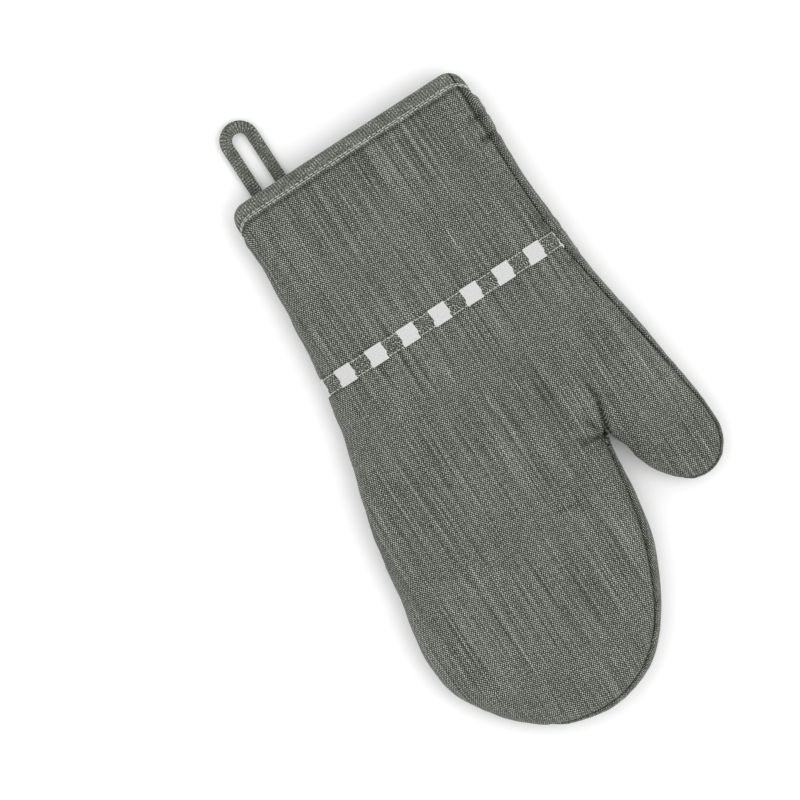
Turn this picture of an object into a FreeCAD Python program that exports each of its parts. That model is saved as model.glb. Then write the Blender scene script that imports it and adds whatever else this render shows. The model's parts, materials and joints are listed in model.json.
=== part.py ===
"""Padded oven mitt, lying flat, built as layered cloth with its bindings, trim, stitching and hanging loop.

Frame: millimetres, +Z up, +Y from the cuff to the fingertips, thumb on the -X side.
The mitt rests on its back cover, and the origin is the bottom centre of everything built here.
"""

import FreeCAD
import Part
import math
import os

Vector = FreeCAD.Vector

# ---- driving dimensions, millimetres and degrees ---------------------------------------------
# Plan outline, from the cuff's end line at y = 0.
MITT_LENGTH = 330.0  # cuff end to fingertip
CUFF_WIDTH = 145.0  # flat width of the cuff
CUFF_THUMB_EDGE = -85.0  # the thumb side of the cuff
CUFF_STRAIGHT = 100.0  # the cuff's thumb side stays straight this far
THUMB_FLARE = 7.6  # degrees that the thumb's outer side leans out
HAND_WIDTH = 144.0  # hand at its widest, over the fingers
HAND_PINKY_EDGE = 100.0  # the little finger's side of the hand at its widest
HAND_WIDEST_AT = 263.0  # how far up the hand is widest
CROTCH_AT = 208.0  # bottom of the gap between thumb and hand
GAP_WIDTH = 3.9  # that gap, where it closes
THUMB_TIP_AT = 253.0  # top of the thumb
THUMB_WIDTH = 50.5  # thumb across its pad
THUMB_OUTER_AT = 228.0  # where the thumb reaches furthest out
THUMB_STANDOFF = 3.5  # the thumb's pad stands this much further from the gap
FLARE_BLEND = 24.0  # length of the bend at each end of the thumb's straight outer side
THUMB_TIP_SHARE = 0.39  # of the thumb's width, its outer side to its top
THUMB_SHOULDER_SHARE = 0.85  # of the thumb's width, its outer side to the shoulder by the hand
THUMB_SHOULDER_DROP = 18.0  # top of the thumb to that shoulder
GAP_OPENING = 5.5  # crotch to where the gap's two sides straighten
# Round the fingertips: share of the hand's width from its thumb side, distance below the tip, heading.
FINGERTIP_SHAPE = ((0.07, 57.0, 68.0), (0.246, 16.5, 47.0), (0.52, 0.0, 0.0), (0.854, 22.5, -48.0))
# Little finger's side: distance in from the widest place, distance below it, heading.
PINKY_SIDE_SHAPE = ((0.0, 0.0, -90.0), (7.0, 51.0, -99.0), (16.0, 90.0, -107.0))
# The same side at the cuff: distance out from the cuff's side, distance from its end, heading.
PINKY_CUFF_SHAPE = ((4.0, 80.0, -96.0), (0.0, 25.0, -90.0))

# Thickness.
MITT_HEIGHT = 26.0  # over both walls and the hand's space
EDGE_ROUNDING = 12.5  # radius of the rounded sides
SIDE_WALL = 0.4  # least half height of the upright wall between a side's two arcs
COVER_THICKNESS = 0.8  # outer cloth
WADDING_THICKNESS = 3.2  # insulating wadding
LINING_THICKNESS = 0.6  # inner cloth
LAYER_GAP = 0.2  # air between two cloth layers
BODY_GAP = 0.6  # opening at a fold line, between two bodies
SEAM_THREAD = 0.7  # height of the line of thread in the side seam

# Cuff binding, folded over the open end.
BINDING_WIDTH = 8.0  # seen on the outside
BINDING_THICKNESS = 1.2
BINDING_NOSE = 1.5  # cloth in front of the cuff's end
STITCH_INSET = 1.4  # topstitch to the binding's inner edge
TOPSTITCH_WIDTH = 0.8
TOPSTITCH_DEPTH = 0.5
TOPSTITCH_SLACK = 0.05  # thread to each side of its groove
PINCH_RUN = 0.5  # the wadding stays thin this far past the cover's step

# Check ribbon across the front.
RIBBON_WIDTH = 10.0
RIBBON_THICKNESS = 0.5
RIBBON_START = 100.0  # cuff end to the ribbon's near edge
RIBBON_LIFT = 0.1
RIBBON_TACK_FROM_EDGE = 4.5  # the white tack at the ribbon's thumb end
RIBBON_TACK_LIFT = 0.5  # it spans the ribbon clear of it, because the side leans out there
STITCH_LENGTH = 2.2
STITCH_PITCH = 3.0
STITCH_THICKNESS = 0.4
STITCH_FROM_RIBBON_EDGE = 0.9
STITCH_FROM_CURVE = 0.5  # rows of stitches to where the front starts to curve down
RIBBON_TACK_START = 0.5  # ribbon's near edge to the tack
RIBBON_TACK_RADIUS = 0.3

# Hanging loop of folded tape, lying flat: two arms side by side and a round bend.
TAPE_WIDTH = 7.0
TAPE_THICKNESS = 1.6
LOOP_EYE = 8.0  # width of the gap between the arms
LOOP_REACH = 42.0  # in front of the cuff's end
LOOP_FROM_SIDE = 16.0  # little finger's side of the cuff to the loop
LOOP_ROOT_CLEARANCE = 1.0  # binding to the arms, so that the loop can stand up
TACK_ROWS = 4  # bars of thread over each arm's sewn end
TACK_PITCH = 0.9
TACK_MARGIN = 1.0  # end of a bar to the side of the tape

# Fold lines, where the cloth bends.
FINGER_FOLD_AT = 226.0
THUMB_FOLD_HEADING = 62.0  # direction of the thumb's fold line in plan, from +X

RUN_OUT = 60.0  # the outline carries on this far past the cuff before it is trimmed
BIG = 800.0  # larger than the whole mitt
OVERLAP = 0.1  # two stretches of one layer run this far into each other
SLICE = 1.0  # length of a slice taken to measure the front's width
TINY = 1e-7  # less than this counts as straight

MID = MITT_HEIGHT / 2.0
WALL = COVER_THICKNESS + WADDING_THICKNESS + LINING_THICKNESS + 2.0 * LAYER_GAP


# ---- plan outline ----------------------------------------------------------------------------
def unit(heading):
    return Vector(math.cos(math.radians(heading)), math.sin(math.radians(heading)), 0.0)


def left_of(direction):
    return Vector(-direction.y, direction.x, 0.0)


def biarc(start, start_heading, end, end_heading):
    """Two arcs in a row that join two points smoothly, each as (start, direction there, end)."""
    t0, t1, chord = unit(start_heading), unit(end_heading), end - start
    along = chord.dot(t0 + t1)
    spread = 2.0 * (1.0 - t0.dot(t1))
    if spread < TINY:
        reach = chord.Length**2 / (2.0 * along)
    else:
        reach = (math.sqrt(along**2 + spread * chord.Length**2) - along) / spread
    before, after = start + t0 * reach, end - t1 * reach
    joint = (before + after) * 0.5
    middle = after - before
    middle.normalize()
    return [(start, t0, joint), (joint, middle, end)]


def outline_stations():
    """Points round the mitt with the heading of the edge there, from the cuff's thumb side."""
    pinky_cuff = CUFF_THUMB_EDGE + CUFF_WIDTH
    hand_thumb_edge = HAND_PINKY_EDGE - HAND_WIDTH
    crotch = hand_thumb_edge - GAP_WIDTH
    thumb_outer = hand_thumb_edge - GAP_WIDTH / 2.0 - THUMB_WIDTH - THUMB_STANDOFF
    lean = FLARE_BLEND * math.tan(math.radians(THUMB_FLARE)) / 2.0
    shoulder = thumb_outer + THUMB_SHOULDER_SHARE * THUMB_WIDTH
    stations = [
        (CUFF_THUMB_EDGE, -RUN_OUT, 90.0),
        (CUFF_THUMB_EDGE, CUFF_STRAIGHT, 90.0),
        (CUFF_THUMB_EDGE - lean, CUFF_STRAIGHT + FLARE_BLEND, 90.0 + THUMB_FLARE),
        (thumb_outer + lean, THUMB_OUTER_AT - FLARE_BLEND, 90.0 + THUMB_FLARE),
        (thumb_outer, THUMB_OUTER_AT, 90.0),
        (thumb_outer + THUMB_TIP_SHARE * THUMB_WIDTH, THUMB_TIP_AT, 0.0),
        (shoulder, THUMB_TIP_AT - THUMB_SHOULDER_DROP, -60.0),
        (crotch - GAP_WIDTH / 2.0, CROTCH_AT + GAP_OPENING, -80.0),
        (crotch, CROTCH_AT, 0.0),
        (crotch + GAP_WIDTH / 2.0, CROTCH_AT + GAP_OPENING, 85.0),
    ]
    for share, below_tip, heading in FINGERTIP_SHAPE:
        stations.append((hand_thumb_edge + share * HAND_WIDTH, MITT_LENGTH - below_tip, heading))
    for inward, below_widest, heading in PINKY_SIDE_SHAPE:
        stations.append((HAND_PINKY_EDGE - inward, HAND_WIDEST_AT - below_widest, heading))
    for outward, from_end, heading in PINKY_CUFF_SHAPE:
        stations.append((pinky_cuff + outward, from_end, heading))
    stations.append((pinky_cuff, -RUN_OUT, -90.0))
    return stations


def outline_arcs():
    """The outline as a chain of arcs (start, direction there, end), clockwise seen from above."""
    arcs = []
    stations = outline_stations()
    for (x0, y0, a0), (x1, y1, a1) in zip(stations, stations[1:]):
        start, end = Vector(x0, y0, 0.0), Vector(x1, y1, 0.0)
        arcs += biarc(start, a0, end, a1)
    return arcs


# ---- layered body ----------------------------------------------------------------------------
def block(x0, x1, y0, y1, z0, z1):
    return Part.makeBox(x1 - x0, y1 - y0, z1 - z0, Vector(x0, y0, z0))


def side_profile(point, outward, inset):
    """The rounded side in section at a point of the outline: two quarter arcs and a short wall."""
    radius = ROUNDING - inset
    slant = math.sqrt(0.5) * radius
    high = point - outward * ROUNDING + Vector(0, 0, MITT_HEIGHT - ROUNDING)
    low = point - outward * ROUNDING + Vector(0, 0, ROUNDING)
    top = high + Vector(0, 0, radius)
    bottom = low - Vector(0, 0, radius)
    side_high, side_low = high + outward * radius, low + outward * radius
    upper = Part.Arc(top, high + outward * slant + Vector(0, 0, slant), side_high).toShape()
    wall = Part.LineSegment(side_high, side_low).toShape()
    lower = Part.Arc(side_low, low + outward * slant - Vector(0, 0, slant), bottom).toShape()
    return Part.Wire([upper, wall, lower])


def sweep_along(shape, arc):
    """A shape carried along one arc of the outline, or along a straight stretch of it."""
    start, direction, end = arc
    chord = end - start
    half_turn = math.atan2(direction.cross(chord).z, direction.dot(chord))
    if abs(half_turn) < TINY:
        return shape.extrude(chord)
    centre = start + left_of(direction) * (chord.Length / (2.0 * math.sin(half_turn)))
    return shape.revolve(centre, Vector(0, 0, 1), math.degrees(2.0 * half_turn))


def rounded_body(inset):
    """The whole mitt's rounded form, with every side, the top and the bottom moved in by inset."""
    faces = []
    rims = []
    for arc in outline_arcs():
        start, direction, end = arc
        outward = left_of(direction)
        faces += sweep_along(side_profile(start, outward, inset), arc).Faces
        inner = Part.Vertex(start - outward * ROUNDING)
        rims += sweep_along(inner, arc).Edges
    first, last = rims[0].Vertexes[0].Point, rims[-1].Vertexes[-1].Point
    closing = Part.LineSegment(last, first).toShape()
    plate = Part.Wire(Part.__sortEdges__(rims + [closing]))
    for z in (inset, MITT_HEIGHT - inset):
        level = Part.Face(plate)
        level.translate(Vector(0, 0, z))
        faces.append(level)
    first_arc, last_arc = outline_arcs()[0], outline_arcs()[-1]
    near = side_profile(first_arc[0], left_of(first_arc[1]), inset)
    far = side_profile(last_arc[2], left_of(last_arc[1]), inset)
    bars = []
    for z in (inset, MITT_HEIGHT - inset):
        bar = closing.copy()
        bar.translate(Vector(0, 0, z))
        bars.append(bar)
    faces.append(Part.Face(Part.Wire(Part.__sortEdges__(near.Edges + far.Edges + bars))))
    skin = Part.makeShell(faces)
    skin.sewShape()
    solid = Part.Solid(skin)
    if solid.Volume < 0:
        solid.reverse()
    return solid


def shell(outer, inner, y0=0.0, y1=BIG):
    """The layer between two insets, for y0 < y < y1, open at the cuff."""
    ring = BODIES[outer].cut(BODIES[inner])
    return ring.common(block(-BIG, BIG, y0, y1, -BIG, BIG))


def above(shape, z):
    return shape.common(block(-BIG, BIG, -BIG, BIG, z, BIG))


def below(shape, z):
    return shape.common(block(-BIG, BIG, -BIG, BIG, -BIG, z))


def crotch_point():
    return Vector(HAND_PINKY_EDGE - HAND_WIDTH - GAP_WIDTH, CROTCH_AT, 0.0)


def thumb_block(grow):
    """A block over the thumb, past its fold line by grow, and clear of the fingers."""
    corner = crotch_point()
    along = unit(THUMB_FOLD_HEADING)
    across = Vector(-along.y, along.x, 0.0)
    start = corner + across * -grow
    points = [start - along * BIG, start + along * BIG]
    points += [p + across * BIG for p in reversed(points)]
    half = Part.Face(Part.makePolygon(points + points[:1])).extrude(Vector(0, 0, BIG))
    half.translate(Vector(0, 0, -BIG / 2.0))
    return half.common(block(-BIG, corner.x + grow, -BIG, BIG, -BIG / 2, BIG / 2))


def split_by_body(shape):
    """The same layer's palm, finger and thumb parts, a fold's gap apart."""
    half = BODY_GAP / 2.0
    thumb = shape.common(thumb_block(-half))
    rest = shape.cut(thumb_block(half))
    palm = rest.common(block(-BIG, BIG, -BIG, FINGER_FOLD_AT - half, -BIG, BIG))
    fingers = rest.common(block(-BIG, BIG, FINGER_FOLD_AT + half, BIG, -BIG, BIG))
    return {"palm": palm, "finger": fingers, "thumb": thumb}


def layers():
    """Cover, wadding and lining, front and back, each thinned under the binding at the cuff."""
    made = {}
    step = BINDING_WIDTH + LAYER_GAP
    cover = shell(COVER_TOP, COVER_BOTTOM, step)
    cover = cover.fuse(shell(COVER_TOP, PINCHED_COVER_BOTTOM, step, step + COVER_THICKNESS))
    cover = cover.fuse(shell(PINCHED_COVER_TOP, PINCHED_COVER_BOTTOM, 0.0, step + OVERLAP))
    wadding = shell(WADDING_TOP, WADDING_BOTTOM, step + COVER_THICKNESS + LAYER_GAP)
    thin_to = step + COVER_THICKNESS + PINCH_RUN
    pinched = shell(PINCHED_WADDING_TOP, PINCHED_WADDING_BOTTOM, 0.0, thin_to)
    wadding = wadding.fuse(pinched)
    lining = shell(LINING_TOP, LINING_BOTTOM, step)
    lining = lining.fuse(shell(PINCHED_LINING_TOP, LINING_BOTTOM, step, step + LINING_THICKNESS))
    lining = lining.fuse(shell(PINCHED_LINING_TOP, PINCHED_LINING_BOTTOM, 0.0, step + OVERLAP))
    wadding = wadding.cut(cover).cut(lining)
    for name, layer in (("cover", cover), ("wadding", wadding), ("lining", lining)):
        seam = SEAM_THREAD / 2.0 + LAYER_GAP / 2.0 if name == "cover" else LAYER_GAP / 2.0
        for side, half in (("front", above(layer, MID + seam)), ("back", below(layer, MID - seam))):
            for region, piece in split_by_body(half).items():
                made[f"{region}_{name}_{side}"] = piece.removeSplitter()
    return made


def seam_threads():
    """The line of thread along the side seam, between the two covers."""
    line = shell(THREAD_TOP, COVER_BOTTOM, BINDING_WIDTH + LAYER_GAP)
    line = below(above(line, MID - SEAM_THREAD / 2.0), MID + SEAM_THREAD / 2.0)
    return {f"{region}_side_seam_thread": piece for region, piece in split_by_body(line).items()}


# ---- cuff binding, ribbon and stitches -------------------------------------------------------
def binding():
    """The folded strip over the cuff's open end, with a groove for its topstitch."""
    whole = shell(COVER_TOP, LINING_BOTTOM, -BINDING_NOSE, BINDING_WIDTH)
    core = shell(BINDING_OUTER_LEG, BINDING_INNER_LEG, 0.0, BIG)
    return whole.cut(core).cut(topstitch(0.0))


def topstitch(slack):
    """The ring of thread that holds the binding, set flush in the cloth."""
    near = BINDING_WIDTH - STITCH_INSET - TOPSTITCH_WIDTH + slack
    return shell(COVER_TOP, TOPSTITCH_BOTTOM, near, near + TOPSTITCH_WIDTH - 2.0 * slack)


def ribbon():
    strip = shell(RIBBON_TOP, RIBBON_BOTTOM, RIBBON_START, RIBBON_START + RIBBON_WIDTH)
    return above(strip, MID + SEAM_THREAD)


def ribbon_flat_span():
    """Where the front is flat along the ribbon, between the two rounded sides."""
    row = BODIES[COVER_TOP].common(block(-BIG, BIG, RIBBON_START, RIBBON_START + SLICE, 0, BIG))
    in_from_side = ROUNDING + STITCH_FROM_CURVE
    return row.BoundBox.XMin + in_from_side, row.BoundBox.XMax - in_from_side


def ribbon_stitches():
    """Two rows of stitches that hold the ribbon down."""
    low, high = ribbon_flat_span()
    count = int((high - low) // STITCH_PITCH)
    top = MITT_HEIGHT + RIBBON_LIFT + RIBBON_THICKNESS
    rows = (
        RIBBON_START + STITCH_FROM_RIBBON_EDGE,
        RIBBON_START + RIBBON_WIDTH - STITCH_FROM_RIBBON_EDGE,
    )
    half = STITCH_THICKNESS / 2.0
    found = []
    for y in rows:
        for i in range(count):
            x = low + i * STITCH_PITCH
            found.append(block(x, x + STITCH_LENGTH, y - half, y + half, top, top + STITCH_THICKNESS))
    return Part.makeCompound(found)


def ribbon_tack():
    """The heavy stitch across the ribbon's end, on the rounded thumb side."""
    x = CUFF_THUMB_EDGE + RIBBON_TACK_FROM_EDGE
    across = ROUNDING - RIBBON_TACK_FROM_EDGE
    radius = ROUNDING + RIBBON_LIFT + RIBBON_THICKNESS + STITCH_THICKNESS + RIBBON_TACK_LIFT
    z = MITT_HEIGHT - ROUNDING + math.sqrt(radius**2 - across**2)
    start = Vector(x, RIBBON_START + RIBBON_TACK_START, z)
    return Part.makeCylinder(RIBBON_TACK_RADIUS, RIBBON_WIDTH, start, Vector(0, 1, 0))


# ---- hanging loop ----------------------------------------------------------------------------
def stadium(half_width, root_y, tip_y, x):
    """A strip in plan round the loop's middle line, square at the root and round at the tip."""
    bend_y = tip_y + half_width
    left, right = Vector(x - half_width, bend_y, 0), Vector(x + half_width, bend_y, 0)
    root_left, root_right = Vector(x - half_width, root_y, 0), Vector(x + half_width, root_y, 0)
    edges = [
        Part.LineSegment(root_left, left).toShape(),
        Part.Arc(left, Vector(x, tip_y, 0), right).toShape(),
        Part.LineSegment(right, root_right).toShape(),
        Part.LineSegment(root_right, root_left).toShape(),
    ]
    return Part.Face(Part.Wire(edges))


def loop_middle():
    """The loop's middle line in x."""
    return CUFF_THUMB_EDGE + CUFF_WIDTH - LOOP_FROM_SIDE - TAPE_WIDTH - LOOP_EYE / 2.0


def hanging_loop():
    root = -BINDING_NOSE - LOOP_ROOT_CLEARANCE
    eye = LOOP_EYE / 2.0
    band = stadium(eye + TAPE_WIDTH, root, -LOOP_REACH, loop_middle())
    gap = stadium(eye, root + TAPE_WIDTH, -LOOP_REACH + TAPE_WIDTH, loop_middle())
    solid = band.cut(gap).extrude(Vector(0, 0, TAPE_THICKNESS))
    solid.translate(Vector(0, 0, (WALL - TAPE_THICKNESS) / 2.0))
    return solid


def loop_tack():
    """The bars of thread through the binding that hold the loop's two ends."""
    bars = []
    half = STITCH_THICKNESS / 2.0
    middle = (BINDING_WIDTH - STITCH_INSET - TOPSTITCH_WIDTH) / 2.0
    for arm in (-1.0, 1.0):
        x = loop_middle() + arm * (LOOP_EYE + TAPE_WIDTH) / 2.0
        for row in range(TACK_ROWS):
            y = middle + (row - (TACK_ROWS - 1) / 2.0) * TACK_PITCH
            reach = TAPE_WIDTH / 2.0 - TACK_MARGIN
            bars.append(block(x - reach, x + reach, y - half, y + half, WALL, WALL + 2.0 * half))
    return Part.makeCompound(bars)


# ---- build -----------------------------------------------------------------------------------
COVER_TOP = 0.0
COVER_BOTTOM = COVER_THICKNESS
WADDING_TOP = COVER_BOTTOM + LAYER_GAP
WADDING_BOTTOM = WADDING_TOP + WADDING_THICKNESS
LINING_TOP = WADDING_BOTTOM + LAYER_GAP
LINING_BOTTOM = WALL
BINDING_OUTER_LEG = BINDING_THICKNESS
BINDING_INNER_LEG = WALL - BINDING_THICKNESS
PINCHED_COVER_TOP = BINDING_OUTER_LEG + LAYER_GAP / 2.0
PINCHED_COVER_BOTTOM = PINCHED_COVER_TOP + COVER_THICKNESS / 2.0
PINCHED_LINING_BOTTOM = BINDING_INNER_LEG - LAYER_GAP / 2.0
PINCHED_LINING_TOP = PINCHED_LINING_BOTTOM - LINING_THICKNESS / 2.0
PINCHED_WADDING_TOP = PINCHED_COVER_BOTTOM + LAYER_GAP / 2.0
PINCHED_WADDING_BOTTOM = PINCHED_LINING_TOP - LAYER_GAP / 2.0
THREAD_TOP = 0.1
TOPSTITCH_BOTTOM = TOPSTITCH_DEPTH
RIBBON_BOTTOM = -RIBBON_LIFT
RIBBON_TOP = RIBBON_BOTTOM - RIBBON_THICKNESS

ROUNDING = min(EDGE_ROUNDING, MID - SIDE_WALL)
INSETS = {
    COVER_TOP, COVER_BOTTOM, WADDING_TOP, WADDING_BOTTOM, LINING_TOP, LINING_BOTTOM,
    BINDING_OUTER_LEG, BINDING_INNER_LEG, PINCHED_COVER_TOP, PINCHED_COVER_BOTTOM,
    PINCHED_WADDING_TOP, PINCHED_WADDING_BOTTOM, PINCHED_LINING_TOP, PINCHED_LINING_BOTTOM,
    THREAD_TOP, TOPSTITCH_BOTTOM, RIBBON_TOP, RIBBON_BOTTOM,
}
BODIES = {inset: rounded_body(inset) for inset in INSETS}


def build():
    nodes = layers()
    nodes.update(seam_threads())
    nodes["cuff_binding"] = binding()
    nodes["binding_topstitch"] = topstitch(TOPSTITCH_SLACK)
    nodes["check_ribbon"] = ribbon()
    nodes["ribbon_stitches"] = ribbon_stitches()
    nodes["ribbon_end_tack"] = ribbon_tack()
    nodes["hanging_loop"] = hanging_loop()
    nodes["loop_tack"] = loop_tack()
    return nodes


def main():
    nodes = build()
    box = FreeCAD.BoundBox()
    for shape in nodes.values():
        box.add(shape.optimalBoundingBox(False, False))
    shift = Vector(-box.Center.x, -box.Center.y, -box.ZMin)
    os.makedirs("parts", exist_ok=True)
    for name, shape in sorted(nodes.items()):
        shape.translate(shift)
        print(f"{name:26s} solids {len(shape.Solids)} volume {shape.Volume:10.1f} valid {shape.isValid()}")
        shape.exportStep(os.path.join("parts", name + ".step"))
    print("shift", shift, "box", box)


main()
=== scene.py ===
"""The look of a padded oven mitt, built round its CAD frame.

Lengths in this file are millimetres until a mesh is made, and the frame is the part's own:
+Y from the cuff to the fingertips, +Z up through the thickness, the thumb on the -X side.
"""

import json
import math

import bmesh
import bpy
import numpy as np
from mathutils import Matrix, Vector
from mathutils.geometry import delaunay_2d_cdt
from mathutils.kdtree import KDTree


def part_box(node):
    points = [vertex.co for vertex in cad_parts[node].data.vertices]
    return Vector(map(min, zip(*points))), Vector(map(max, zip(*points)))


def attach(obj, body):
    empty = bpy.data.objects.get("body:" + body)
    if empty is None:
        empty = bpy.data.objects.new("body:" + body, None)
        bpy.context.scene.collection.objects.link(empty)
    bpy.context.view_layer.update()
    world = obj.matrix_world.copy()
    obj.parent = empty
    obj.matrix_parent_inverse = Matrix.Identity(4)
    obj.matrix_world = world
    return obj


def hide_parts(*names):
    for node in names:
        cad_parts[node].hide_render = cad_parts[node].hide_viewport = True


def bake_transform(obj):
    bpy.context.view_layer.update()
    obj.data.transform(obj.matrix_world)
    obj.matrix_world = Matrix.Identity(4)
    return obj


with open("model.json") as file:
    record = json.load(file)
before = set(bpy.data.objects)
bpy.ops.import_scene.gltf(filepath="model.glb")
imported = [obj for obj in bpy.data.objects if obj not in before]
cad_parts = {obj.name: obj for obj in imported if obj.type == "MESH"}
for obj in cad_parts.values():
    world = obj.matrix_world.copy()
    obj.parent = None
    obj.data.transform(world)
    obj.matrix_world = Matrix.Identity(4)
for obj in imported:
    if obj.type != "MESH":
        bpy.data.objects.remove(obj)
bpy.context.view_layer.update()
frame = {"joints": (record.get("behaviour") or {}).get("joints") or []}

MM = 0.001

# ---- places that the frame gives ----


def node_box(node):
    """A CAD node's low and high corners, in millimetres."""
    low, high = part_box(node)
    return np.array(low) / MM, np.array(high) / MM


def joint(name):
    """A joint's place in millimetres, and its axis."""
    found = next(j for j in frame["joints"] if j["name"] == name)
    return np.array(found["pos_m"]) / MM, np.array(found["axis"])


CUFF_LEFT, CUFF_RIGHT = node_box("cuff_binding")[0][0], node_box("cuff_binding")[1][0]
CUFF_END = node_box("palm_lining_front")[0][1]
TIP_Y = node_box("finger_cover_front")[1][1]
PINKY_X = node_box("finger_cover_front")[1][0]
THUMB_X = node_box("thumb_cover_front")[0][0]
THUMB_TIP_Y = node_box("thumb_cover_front")[1][1]
RIBBON_LOW_Y, RIBBON_HIGH_Y = node_box("check_ribbon")[0][1], node_box("check_ribbon")[1][1]
CROTCH, THUMB_AXIS = joint("thumb_fold")
THUMB_ACROSS = np.array([-THUMB_AXIS[1], THUMB_AXIS[0]])  # square to the fold line, to the thumb
FINGER_FOLD_Y = joint("finger_fold")[0][1]
LOOP_LOW, LOOP_HIGH = node_box("hanging_loop")

# ---- sizes of the cloth ----
FINE = 1.5  # mesh spacing on the covers
COARSE = 4.0  # mesh spacing on the layers inside
FINE_ROWS = 10  # rows of quads in the strip along the edge
COARSE_ROWS = 5
THUMB_FLARE = 7.6  # degrees

SEAM_HEIGHT = 11.0  # height of the mitt's widest line above the table
TOP_REACH = 26.0  # how far in from the edge the front stays rounded
UNDER_REACH = 15.0  # the same for the back, which flattens on the table
CROWN = 14.5  # front's height over the widest line, at the palm
CUFF_CROWN = 9.0  # the same at the cuff
THUMB_CROWN = 11.0  # the same on the thumb
RIM = 11.0  # width of the evenly meshed strip along the edge

COVER = 0.8
WADDING = 2.4
LINING = 0.6
WADDING_IN = 1.9  # outer face of the wadding below the cover's
LINING_IN = 4.4
PINCH = 1.2  # the binding squeezes the wall by this much
TUCK = 1.5  # and sinks it by this much below the cover beside it

GROOVE_DEPTH = 1.4  # side seam
GROOVE_WIDTH = 1.1
CORNER = 10.0  # radius of the cuff's corners
CORNER_REACH = 30.0  # how far up the cuff the cloth is drawn to make them

BINDING_WIDTH = 8.4
TAPE_THICK = 0.7  # tape with its hem folded under
RIB_PITCH = 1.6
RIB_DEPTH = 0.1
THREAD = 0.36  # thread's diameter
# Puckers in the side seam: place along the edge from the cuff's thumb side, and depth.
PUCKERS = ((28.0, 2.2), (40.0, 2.4), (93.0, 1.3), (102.0, 1.3), (119.0, 1.0))
PUCKER_WIDTH, PUCKER_SHOULDER = 1.7, 6.0  # of the fold itself and of the swell on both sides
PUCKER_REACH = 9.0  # how far in from the seam it fades
UNEVEN = ((0.7, 11, (55, 120)), (0.35, 21, (18, 40)))  # height, seed on the front, shortest and longest wave
SEAM_CALM = 14.0  # those waves start this far from the seam
CREASE_REACH, CREASE_STEPS = 1.15, ((0.5, 0), (-2.2, -11), (-5, -20.5), (-4.2, -27), (-3, -38), (0, -48))
GAP_TUCK, GAP_TUCK_REACH = 1.6, 24.0  # layers inside draw back from the bottom of the thumb's gap
SWELL_FROM, SWELL_RISE = 4.0, 20.0  # the swelling starts this far from the seam, and is full this much later
INNER_SHARE = 0.85  # of the swelling that the layers inside take
# Pressed creases in the front: start and end from the bottom of the thumb's gap, and depth.
CREASES = (((1.5, -0.5), (16.0, -3.5), 0.6), ((34.0, 21.0), (47.0, 19.0), 0.35))
STITCH_IN = 0.8  # rows of stitches inside the ribbon's and the binding's edges
SQUARE = 10.0  # ribbon's checks
WHITE_SQUARE_X = CUFF_LEFT + 13.8  # near edge of the first white one


# ---- plan outline ----
def unit(heading):
    """A unit vector at a heading in degrees."""
    return np.array([math.cos(math.radians(heading)), math.sin(math.radians(heading))])


def left_of(v):
    """Vectors turned a quarter turn to the left."""
    return np.stack([-v[..., 1], v[..., 0]], axis=-1)


def bell(x, width):
    """1 at 0, falling to 1/e at a width to either side."""
    return np.exp(-((x / width) ** 2))


def smooth(x):
    """0 up to 0 and 1 from 1 on, with a smooth rise between."""
    t = np.clip(x, 0.0, 1.0)
    return t * t * (3.0 - 2.0 * t)


def stations():
    """Points round the mitt, each with its edge's heading and the side seam's distance in from it.

    The seam's distance is above 0 on the front and below 0 where the front wraps under.
    """
    hand_x = CROTCH[0] + 3.9
    hand_width = PINKY_X - hand_x
    thumb_width = CROTCH[0] - 1.5 - THUMB_X
    lean = 12.0 * math.tan(math.radians(THUMB_FLARE))
    widest = TIP_Y - 67.0
    return [
        (CUFF_LEFT - 0.4, CUFF_END, 90, 5.0),
        (CUFF_LEFT - 0.7, CUFF_END + 100.0, 91.5, 5.2),
        (CUFF_LEFT - lean - 1.1, CUFF_END + 124.0, 90 + THUMB_FLARE, 4.0),
        (THUMB_X + lean, THUMB_TIP_Y - 49.0, 90 + THUMB_FLARE, 1.9),
        (THUMB_X - 0.5, THUMB_TIP_Y - 24.0, 90, 1.5),
        (THUMB_X + 0.39 * thumb_width, THUMB_TIP_Y + 0.6, 0, 0.6),
        (THUMB_X + 0.85 * thumb_width, THUMB_TIP_Y - 17.6, -60, -0.8),
        (CROTCH[0] - 2.2, CROTCH[1] + 5.5, -70, -0.6),
        (CROTCH[0], CROTCH[1] + 0.3, -60, 0.3),
        (CROTCH[0] + 0.5, CROTCH[1], 0, 0.5),
        (CROTCH[0] + 1.1, CROTCH[1] + 0.5, 76, 0.8),
        (CROTCH[0] + 2.0, CROTCH[1] + 5.5, 84, 2.6),
        (hand_x + 0.066 * hand_width, TIP_Y - 56.8, 69, 4.4),
        (hand_x + 0.239 * hand_width, TIP_Y - 15.4, 46, 3.2),
        (hand_x + 0.52 * hand_width, TIP_Y + 0.6, 0, 2.0),
        (hand_x + 0.854 * hand_width, TIP_Y - 22.5, -48, -1.0),
        (PINKY_X, widest, -90, -3.0),
        (PINKY_X - 7.0, widest - 51.0, -99, -3.0),
        (PINKY_X - 16.0, widest - 90.0, -107, -3.0),
        (CUFF_RIGHT + 4.0, CUFF_END + 80.0, -96, -3.0),
        (CUFF_RIGHT, CUFF_END + 25.0, -90, -3.0),
        (CUFF_RIGHT, CUFF_END, -90, -3.0),
    ]


CROTCH_STATION = 9
FLARE_STATIONS = (2, 3)


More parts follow.
